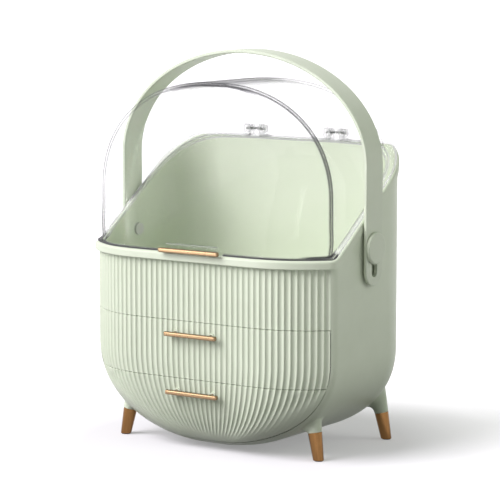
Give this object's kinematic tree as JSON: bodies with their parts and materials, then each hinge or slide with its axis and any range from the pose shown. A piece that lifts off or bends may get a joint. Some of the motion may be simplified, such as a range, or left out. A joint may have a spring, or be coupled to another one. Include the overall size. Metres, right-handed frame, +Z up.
{
  "type": "makeup organizer",
  "caption": "Free-standing makeup organizer: round-bottomed fluted case on legs with sliding drawers, open bin on top, clear domed lid hinged at the back and arched carry handle.",
  "frame": {"origin": "centre of the overall box in X and Y, on the floor under the foot pads in Z", "axes": "+Z up, -Y towards the front with the drawers and pulls, +X to the right as seen from the front"},
  "size_m": [0.284, 0.1868, 0.369],
  "materials": {
    "case_plastic": "satin mint green moulded plastic",
    "inner_plastic": "plain moulded plastic, slightly paler mint",
    "handle_plastic": "satin grey-green plastic",
    "clear_plastic": "polished clear plastic",
    "gold_metal": "brushed pinkish gold plating",
    "steel": "plain zinc-plated steel",
    "soft_rubber": "soft dark grey rubber"
  },
  "bodies": {
    "case": {"drawer_housing": "case_plastic", "drawer_divider": "inner_plastic", "top_bin": "case_plastic", "bin_screws": "steel", "upper_drawer_rails": "inner_plastic", "lower_drawer_rails": "inner_plastic", "hinge_bracket_left": "clear_plastic", "hinge_bracket_right": "clear_plastic", "hinge_screws": "steel", "hinge_pins": "steel", "leg_tip_front_left": "gold_metal", "leg_pad_front_left": "soft_rubber", "leg_tip_front_right": "gold_metal", "leg_pad_front_right": "soft_rubber", "leg_tip_back_left": "gold_metal", "leg_pad_back_left": "soft_rubber", "leg_tip_back_right": "gold_metal", "leg_pad_back_right": "soft_rubber"},
    "upper_drawer": {"upper_drawer_front": "case_plastic", "upper_drawer_tray": "inner_plastic", "upper_drawer_pull": "gold_metal", "upper_pull_screws": "steel"},
    "lower_drawer": {"lower_drawer_front": "case_plastic", "lower_drawer_tray": "inner_plastic", "lower_drawer_pull": "gold_metal", "lower_pull_screws": "steel"},
    "lid": {"lid_shell": "clear_plastic", "lid_pull": "gold_metal", "lid_pull_screws": "steel"},
    "handle_pivots": {"pivot_stud_left": "steel", "pivot_bush_left": "inner_plastic", "pivot_button_left": "handle_plastic", "pivot_stud_right": "steel", "pivot_bush_right": "inner_plastic", "pivot_button_right": "handle_plastic"},
    "handle": {"carry_handle": "handle_plastic"}
  },
  "joints": [
    {"name": "drawer_upper", "type": "slide", "parent": "case", "child": "upper_drawer", "axis": [0, -1, 0], "range_m": [0, 0.08]},
    {"name": "drawer_lower", "type": "slide", "parent": "case", "child": "lower_drawer", "axis": [0, -1, 0], "range_m": [0, 0.08]},
    {"name": "lid_hinge", "type": "hinge", "parent": "case", "child": "lid", "pos_m": [0, 0.08705, 0.288], "axis": [-1, 0, 0], "range_deg": [0, 100]},
    {"name": "handle_swing", "type": "hinge", "parent": "case", "child": "handle_pivots", "pos_m": [0, 0.00655, 0.192], "axis": [-1, 0, 0], "range_deg": [0, 120]},
    {"name": "handle_lift", "type": "slide", "parent": "handle_pivots", "child": "handle", "axis": [0, 0, 1], "range_m": [0, 0.021]}
  ],
  "couplings": [
    {"joint": "handle_swing", "follows": "lid_hinge", "ratio": 1.2}
  ]
}
